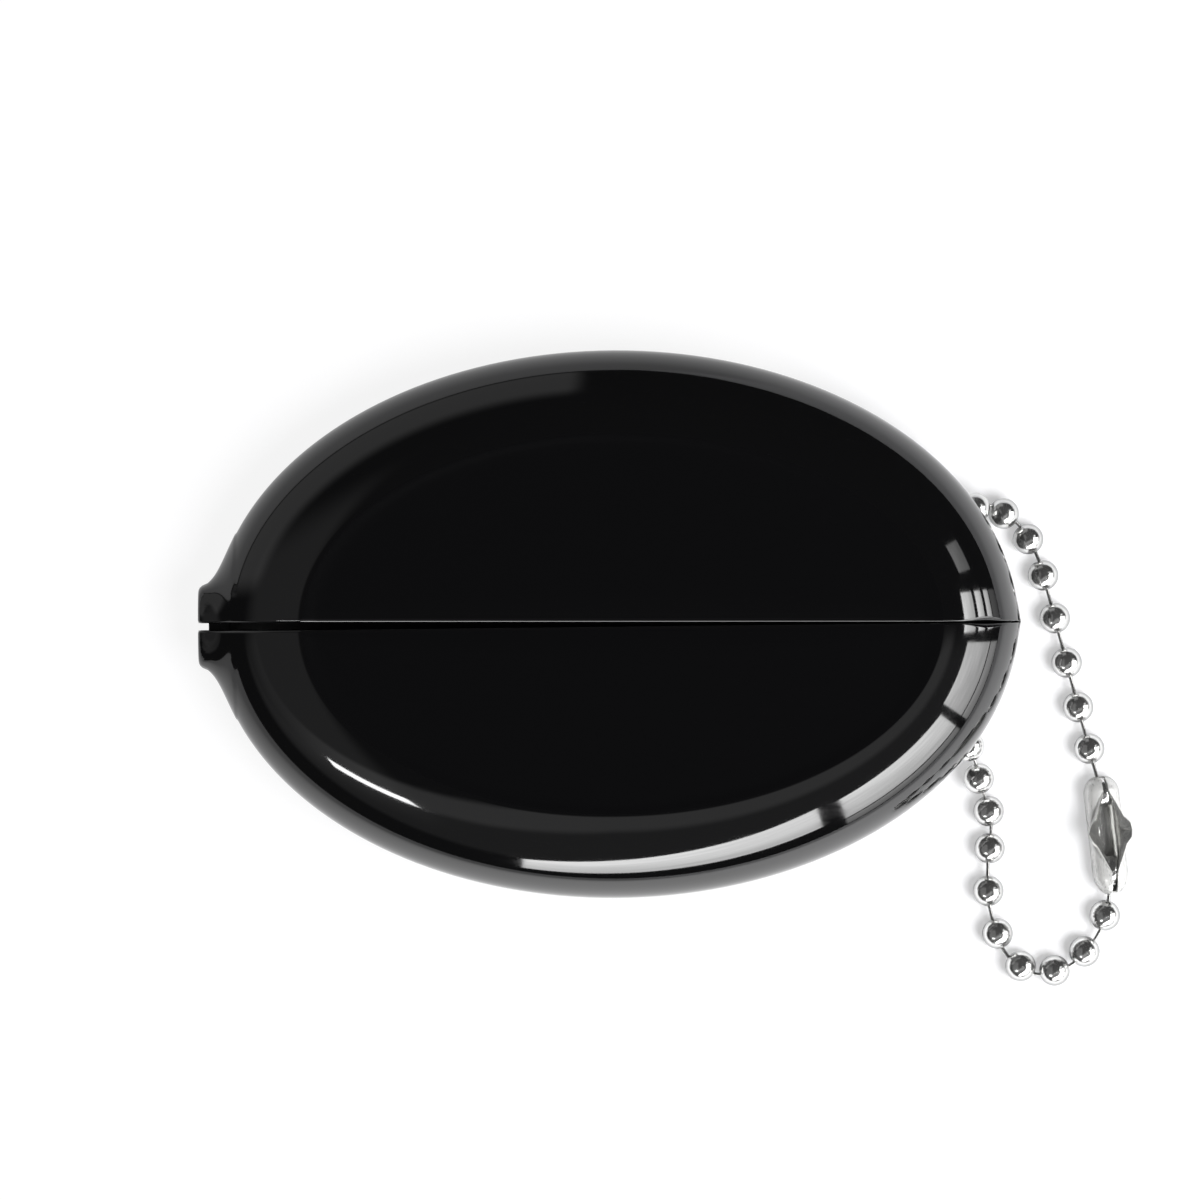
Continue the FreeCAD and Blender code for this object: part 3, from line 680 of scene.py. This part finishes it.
sheath_reach = sheath_half + math.sqrt(SHEATH_RADIUS ** 2 - END_EYE ** 2)
sheath_rows = []
for station in np.linspace(-sheath_reach, sheath_reach, SHEATH_STATIONS):
    over = max(abs(station) - sheath_half, 0)
    drawn_out = (LOWER_END_SHARE - 1) * over if station > 0 else 0
    radius = math.sqrt(SHEATH_RADIUS ** 2 - over ** 2)
    open_half = THROAT_HALF + (MOUTH_HALF - THROAT_HALF) * max(1 - abs(station) / MOUTH_REACH, 0)
    gap = math.asin(min(open_half / radius, 0.99))
    rise = flap_rise(station, WING_LENGTH, WING_TIP, WING_HEIGHT)
    rise += flap_rise(station, TAB_LENGTH, TAB_TIP, TAB_HEIGHT)
    row = []
    for turn in np.linspace(gap, 2 * math.pi - gap, SHEATH_STEPS):
        row.append((station + drawn_out, radius * math.sin(turn), radius * math.cos(turn)))
    for end, side in ((0, 1), (-1, -1)):
        lean = Vector((0, side * math.sin(WING_LEAN), math.cos(WING_LEAN)))
        foot = Vector(row[end])
        wing = [tuple(foot + lean * rise * step / WING_STEPS) for step in range(WING_STEPS, 0, -1)]
        row = wing + row if side > 0 else row + wing[::-1]
    sheath_rows.append(row)

roll = Matrix.Rotation(MOUTH_ROLL, 4, "X")
seat = Matrix.Translation(sheath_middle) @ Matrix((
    (sheath_along.x, sheath_side.x, sheath_up.x), (sheath_along.y, sheath_side.y, sheath_up.y),
    (sheath_along.z, sheath_side.z, sheath_up.z),
)).to_4x4() @ Matrix.Scale(MM, 4) @ roll
width = len(sheath_rows[0])
sheath_mesh = bpy.data.meshes.new("coupling_sheath")
sheath_mesh.from_pydata(
    [seat @ Vector(place) for row in sheath_rows for place in row], [],
    [
        (row * width + step, row * width + step + 1, (row + 1) * width + step + 1, (row + 1) * width + step)
        for row in range(SHEATH_STATIONS - 1) for step in range(width - 1)
    ],
)
work = bmesh.new()
work.from_mesh(sheath_mesh)
bmesh.ops.remove_doubles(work, verts=work.verts, dist=MERGE_DISTANCE)
bmesh.ops.recalc_face_normals(work, faces=work.faces)
for face in work.faces:
    face.smooth = True
work.to_mesh(sheath_mesh)
work.free()

# Plated sheet steel, drawn through a folding tool: a bright satin outside, and a greyer satin inside with fine
# streaks along the sheath.
STREAK = 0.18
STREAK_STRETCH = 0.08
for name, metallic, dark, pale, smoothest, roughest in (
    ("folded_plated_sheet", 0.3, "#e4e4e2", "#fafaf8", 0.24, 0.4),
    ("folded_sheet_inside", 0.8, "#b4b4b2", "#e0e0de", 0.12, 0.26),
):
    sheet_steel, tree, shader, places = surface(name)
    shader.inputs["Metallic"].default_value = metallic
    lengthwise = add(tree, "ShaderNodeMapping", {"Vector": places, "Scale": (1, STREAK_STRETCH, 1)})
    streaks = add(tree, "ShaderNodeTexNoise", {
        "Vector": lengthwise.outputs["Vector"], "Scale": 1 / (STREAK * MM), "Detail": 3.0,
    })
    tint = add(tree, "ShaderNodeMix", {
        "Factor": streaks.outputs["Fac"], "A": linear(dark), "B": linear(pale),
    }, data_type="RGBA")
    satin = add(tree, "ShaderNodeMapRange", {
        "Value": streaks.outputs["Fac"], "From Min": 0.3, "From Max": 0.75,
        "To Min": smoothest, "To Max": roughest,
    })
    drawn = add(tree, "ShaderNodeBump", {
        "Height": streaks.outputs["Fac"], "Strength": 0.3, "Distance": 0.01 * MM,
    })
    tree.links.new(tint.outputs["Result"], shader.inputs["Base Color"])
    tree.links.new(satin.outputs["Result"], shader.inputs["Roughness"])
    tree.links.new(drawn.outputs["Normal"], shader.inputs["Normal"])
    sheath_mesh.materials.append(sheet_steel)

coupling = bpy.data.objects.new("coupling_sheath", sheath_mesh)
bpy.context.scene.collection.objects.link(coupling)
thick = coupling.modifiers.new("sheet", "SOLIDIFY")
thick.thickness = SHEET * MM
thick.offset = 0
thick.material_offset = 1
depsgraph = bpy.context.evaluated_depsgraph_get()
plain = bpy.data.meshes.new_from_object(coupling.evaluated_get(depsgraph))
coupling.modifiers.remove(thick)
coupling.data = plain
plain.set_sharp_from_angle(angle=SHARP_ANGLE)

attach(coupling, "chain_coupling")
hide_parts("coupling")

# The table: a white sheet under the purse. It takes the purse's shadows, and it glows a little for the eye and
# for mirrors, so that it stays white where no shadow falls. In mirrors its glow is a painted pool of light,
# which fades away from its brightest place, to the right of the purse and in front.
FLOOR_HALF = 6.0
FLOOR_DROP = 0.03 * MM
FLOOR_GLOW = 0.63
FLOOR_ROUGHNESS = 0.9
FLOOR_SHINE = 0.1
BRIGHTEST = (0.04, -0.07, 0.0)
SHEET_REACH = (0.04, 0.155)
SHEET_SHARES = (1.65, 0.1)
SHADE_REACH = (1.6 * MM, 7.0 * MM)
SHADE_SHARE = 0.12
# Towards the chain the sheet glows less and takes deeper shadows. On the pouch's side it is darker and glows
# more, painted light that fills the pouch's shadow there.
CHAIN_SIDE = (0.012, 0.034)
OWN_GLOW = (0.89, 0.44)
floor_mesh = bpy.data.meshes.new("table")
floor_signs = ((-1, -1), (1, -1), (1, 1), (-1, 1))
floor_corners = [(x * FLOOR_HALF, y * FLOOR_HALF, -FLOOR_DROP) for x, y in floor_signs]
floor_mesh.from_pydata(floor_corners, [], [(0, 1, 2, 3)])
floor = bpy.data.objects.new("table", floor_mesh)
bpy.context.scene.collection.objects.link(floor)
paper, tree, shader, places = surface("white_paper")
# The sheet's colour and glow change from the pouch's side to the chain's: more glow on the pouch's side paints
# light into its shadow
beside = add(tree, "ShaderNodeMapRange", {
    "Value": add(tree, "ShaderNodeSeparateXYZ", {"Vector": places}).outputs["X"],
    "From Min": CHAIN_SIDE[0], "From Max": CHAIN_SIDE[1],
}, interpolation_type="SMOOTHSTEP").outputs[0]
tone = add(tree, "ShaderNodeMix", {
    "Factor": beside, "A": linear("#646466"), "B": linear("#d0d0d2"),
}, data_type="RGBA")
own_glow = add(tree, "ShaderNodeMapRange", {
    "Value": beside, "To Min": OWN_GLOW[0], "To Max": OWN_GLOW[1],
}).outputs[0]
tree.links.new(tone.outputs["Result"], shader.inputs["Base Color"])
shader.inputs["Roughness"].default_value = FLOOR_ROUGHNESS
shader.inputs["Specular IOR Level"].default_value = FLOOR_SHINE
ray = add(tree, "ShaderNodeLightPath").outputs
# A painted pool of light: in mirrors the sheet glows most at its brightest place and less with distance from it
from_middle = add(tree, "ShaderNodeVectorMath", {0: places, 1: BRIGHTEST}, operation="DISTANCE")
near = add(tree, "ShaderNodeMapRange", {
    "Value": from_middle.outputs["Value"], "From Min": SHEET_REACH[0], "From Max": SHEET_REACH[1],
    "To Min": SHEET_SHARES[0], "To Max": SHEET_SHARES[1],
}, interpolation_type="SMOOTHSTEP")
# Right under a piece, short mirrored rays see the sheet's glow cut down: a painted shadow under each piece
painted_shade_in_mirrors = add(tree, "ShaderNodeMapRange", {
    "Value": ray["Ray Length"], "From Min": SHADE_REACH[0], "From Max": SHADE_REACH[1],
    "To Min": SHADE_SHARE, "To Max": 1.0,
})
in_mirror = add(tree, "ShaderNodeMath", {
    0: ray["Is Glossy Ray"], 1: ray["Is Transmission Ray"],
}, operation="ADD")
mirrored = add(tree, "ShaderNodeMath", {0: near.outputs[0], 1: painted_shade_in_mirrors.outputs[0]}, operation="MULTIPLY")
mirrored = add(tree, "ShaderNodeMath", {0: mirrored.outputs[0], 1: -1.0}, operation="ADD")
mirrored = add(tree, "ShaderNodeMath", {
    0: mirrored.outputs[0], 1: FLOOR_GLOW, 2: own_glow,
}, operation="MULTIPLY_ADD")
mirrored = add(tree, "ShaderNodeMath", {0: mirrored.outputs[0], 1: 0.0}, operation="MAXIMUM")
mirrored = add(tree, "ShaderNodeMath", {0: mirrored.outputs[0], 1: in_mirror.outputs[0]}, operation="MULTIPLY")
glow = add(tree, "ShaderNodeMath", {
    0: ray["Is Camera Ray"], 1: own_glow, 2: mirrored.outputs[0],
}, operation="MULTIPLY_ADD")
shader.inputs["Emission Color"].default_value = (1, 1, 1, 1)
tree.links.new(glow.outputs[0], shader.inputs["Emission Strength"])
floor_mesh.materials.append(paper)

# The light: window panes with bars between them to the right and in front, as in a daylit room. Each pane is
# given by the bearing and distance of its two sides, the heights of its lower and upper edge, and its radiance.
PANES = (
    ((-100, 3.6), (-66, 1.6), 0.42, 1.3, 9.8),
    ((-62.5, 1.6), (-35, 1.6), 0.3, 1.2, 8.6),
    ((-32, 1.6), (-9, 1.6), 0.36, 1.4, 6.3),
    ((-5.5, 1.6), (12.5, 1.6), 0.36, 0.56, 6.6),
    ((-5.5, 1.6), (12.5, 1.6), 0.68, 0.96, 8.6),
    ((-5.5, 1.6), (12.5, 1.6), 1.1, 1.7, 8.6),
    ((-62.5, 1.6), (-35, 1.6), 0.03, 0.26, 2.1),
    ((-32, 1.6), (-9, 1.6), 0.03, 0.32, 2.8),
    ((-5.5, 1.6), (12.5, 1.6), 0.03, 0.32, 0.8),
    ((20, 1.6), (30, 1.6), 0.8, 1.4, 1.8),
)
STREAK_COUNT = 8
STREAK_LENGTHENING = 5


def aloft(bearing, elevation, distance):
    """A place at a bearing, an elevation and a distance from the purse."""
    return distance * Vector((
        math.cos(elevation) * math.cos(bearing), math.cos(elevation) * math.sin(bearing), math.sin(elevation),
    ))


for number, (left, right, bottom, top, radiance) in enumerate(PANES, start=1):
    sides = [aloft(math.radians(bearing), 0, far) for bearing, far in (left, right)]
    lamp = bpy.data.lights.new(f"pane_{number}", "AREA")
    lamp.shape = "RECTANGLE"
    lamp.size = (sides[1] - sides[0]).length
    lamp.size_y = top - bottom
    lamp.energy = radiance * math.pi * lamp.size * lamp.size_y
    # What lies outside shows faintly in the glass as level streaks
    lamp.use_nodes = True
    tree = lamp.node_tree
    over_pane = add(tree, "ShaderNodeNewGeometry").outputs["Parametric"]
    level = add(tree, "ShaderNodeMapping", {
        "Vector": over_pane, "Scale": (STREAK_COUNT / STREAK_LENGTHENING, STREAK_COUNT, 1),
    })
    view = add(tree, "ShaderNodeTexNoise", {"Vector": level.outputs["Vector"], "Scale": 1.0, "Detail": 2.0})
    shade = add(tree, "ShaderNodeMapRange", {
        "Value": view.outputs["Fac"], "From Min": 0.3, "From Max": 0.7, "To Min": 0.84, "To Max": 1.1,
    })
    height = add(tree, "ShaderNodeSeparateXYZ", {"Vector": over_pane}).outputs["Y"]
    fade = add(tree, "ShaderNodeMapRange", {"Value": height, "To Min": 0.5, "To Max": 0.95})
    glare = add(tree, "ShaderNodeMath", {0: shade.outputs[0], 1: fade.outputs[0]}, operation="MULTIPLY")
    tree.links.new(glare.outputs[0], tree.nodes["Emission"].inputs["Strength"])
    pane = bpy.data.objects.new(f"pane_{number}", lamp)
    facing = (sides[1] - sides[0]).cross(Vector((0, 0, 1))).normalized()
    facing *= -math.copysign(1, facing.dot(sides[0]))
    pane.location = (sides[0] + sides[1]) / 2 + Vector((0, 0, (bottom + top) / 2))
    pane.rotation_euler = facing.to_track_quat("-Z", "Y").to_euler()
    pane.visible_camera = False
    pane.visible_diffuse = False
    bpy.context.scene.collection.objects.link(pane)

# The daylight that falls on the table comes from high up on the right, and leaves short soft shadows
KEY_BEARING = math.radians(-30)
KEY_ELEVATION = math.radians(62)
KEY_DISTANCE = 2.0
KEY_SIZE = 1.0
KEY_LEVEL = 0.95
lamp = bpy.data.lights.new("daylight", "AREA")
lamp.shape = "DISK"
lamp.size = KEY_SIZE
lamp.energy = KEY_LEVEL * 4 * math.pi * KEY_DISTANCE ** 2 / math.sin(KEY_ELEVATION) * math.pi / 4
key = bpy.data.objects.new("daylight", lamp)
key.location = aloft(KEY_BEARING, KEY_ELEVATION, KEY_DISTANCE)
key.rotation_euler = (-key.location).to_track_quat("-Z", "Y").to_euler()
key.visible_camera = False
key.visible_glossy = False
bpy.context.scene.collection.objects.link(key)

# A narrow strip lamp in front and to the left
STRIP_BEARING = math.radians(-124.5)
STRIP_ELEVATION = math.radians(40.7)
STRIP_TILT = math.radians(36)
STRIP_DISTANCE = 1.5
STRIP_SIZE = (0.4, 0.08)
STRIP_RADIANCE = 13.0
lamp = bpy.data.lights.new("strip", "AREA")
lamp.shape = "RECTANGLE"
lamp.size, lamp.size_y = STRIP_SIZE
lamp.energy = STRIP_RADIANCE * math.pi * lamp.size * lamp.size_y
strip = bpy.data.objects.new("strip", lamp)
strip.location = aloft(STRIP_BEARING, STRIP_ELEVATION, STRIP_DISTANCE)
facing = (-strip.location).to_track_quat("-Z", "Y").to_matrix()
strip.rotation_euler = (facing @ Matrix.Rotation(STRIP_TILT, 3, "Z")).to_euler()
strip.visible_camera = False
bpy.context.scene.collection.objects.link(strip)

# The room: dark overhead, with a pale stretch of ceiling in front, a pale wall behind on the left, a dim one on
# the left and a dimmer one in front. The edges of each are given by directions from the purse.
ROOM = 0.027
CEILING = 0.26
WALL_LIGHT = 0.25
SIDE_LIGHT = 0.11
FRONT_LIGHT = 0.08
world = bpy.data.worlds.new("room")
bpy.context.scene.world = world
world.use_nodes = True
tree = world.node_tree
background = tree.nodes["Background"]
directions = add(tree, "ShaderNodeTexCoord").outputs["Generated"]
sky = add(tree, "ShaderNodeSeparateXYZ", {"Vector": directions}).outputs
leftwards = add(tree, "ShaderNodeMath", {0: sky["X"], 1: 0.0}, operation="MINIMUM")
slope = add(tree, "ShaderNodeMath", {0: leftwards.outputs[0], 1: -0.5, 2: sky["Z"]}, operation="MULTIPLY_ADD")


def edge(value, start, end, low, high):
    """A soft edge of a pale stretch of the room."""
    return add(tree, "ShaderNodeMapRange", {
        "Value": value, "From Min": start, "From Max": end, "To Min": low, "To Max": high,
    }, interpolation_type="SMOOTHSTEP").outputs[0]


def stretch(*edges):
    """A stretch of the room inside all its edges."""
    held = edges[0]
    for other in edges[1:]:
        held = add(tree, "ShaderNodeMath", {0: held, 1: other}, operation="MULTIPLY").outputs[0]
    return held


ceiling = stretch(
    edge(slope.outputs[0], 0.81, 0.87, 0, CEILING), edge(slope.outputs[0], 0.955, 0.985, 1, 0),
    edge(sky["Y"], -0.12, 0.0, 1, 0), edge(sky["X"], -0.75, -0.3, 0.15, 1),
)
back_wall = stretch(
    edge(sky["Z"], 0.0, 0.05, 0, WALL_LIGHT), edge(sky["Z"], 0.4, 0.6, 1, 0),
    edge(sky["Y"], 0.15, 0.3, 0, 1), edge(sky["X"], -0.08, -0.04, 1, 0),
)
side_wall = stretch(
    edge(sky["X"], -0.36, -0.24, SIDE_LIGHT, 0), edge(sky["Y"], -0.85, -0.6, 0, 1),
    edge(sky["Y"], 0.3, 0.6, 1, 0), edge(sky["Z"], 0.3, 0.6, 0, 1),
)
front_wall = stretch(
    edge(sky["Z"], 0.3, 0.4, 0, FRONT_LIGHT), edge(slope.outputs[0], 0.81, 0.87, 1, 0),
    edge(sky["Y"], -0.2, 0.0, 1, 0),
)
room = side_wall
for part in (back_wall, front_wall, ceiling, ROOM):
    room = add(tree, "ShaderNodeMath", {0: room, 1: part}, operation="ADD").outputs[0]
ray = add(tree, "ShaderNodeLightPath").outputs
strength = add(tree, "ShaderNodeMix", {
    "Factor": ray["Is Camera Ray"], "A": room, "B": 1.0,
}, data_type="FLOAT")
tree.links.new(strength.outputs["Result"], background.inputs["Strength"])
background.inputs["Color"].default_value = (1, 1, 1, 1)

# The camera: a long lens straight above the purse, as in the photograph. The pouch's length in millimetres and
# in pixels gives the width of the frame.
FRAME_PIXELS = 1200
POUCH_LENGTH = 80
POUCH_PIXELS = 821
SENSOR = 36
FRAME_WIDTH = FRAME_PIXELS * POUCH_LENGTH / POUCH_PIXELS * MM
CAMERA_HEIGHT = 1.2
CAMERA_PLACE = (-1.414 * MM, 2.368 * MM, CAMERA_HEIGHT)
CAMERA_ROLL = math.radians(-0.35)
camera_data = bpy.data.cameras.new("camera")
camera_data.sensor_width = SENSOR
camera_data.lens = SENSOR * (CAMERA_HEIGHT - MIDDLE * MM) / FRAME_WIDTH
camera_data.clip_end = 20
camera = bpy.data.objects.new("camera", camera_data)
camera.location = CAMERA_PLACE
camera.rotation_euler.z = CAMERA_ROLL
bpy.context.scene.collection.objects.link(camera)
bpy.context.scene.camera = camera
bpy.context.scene.view_settings.view_transform = "Standard"

bpy.context.view_layer.update()
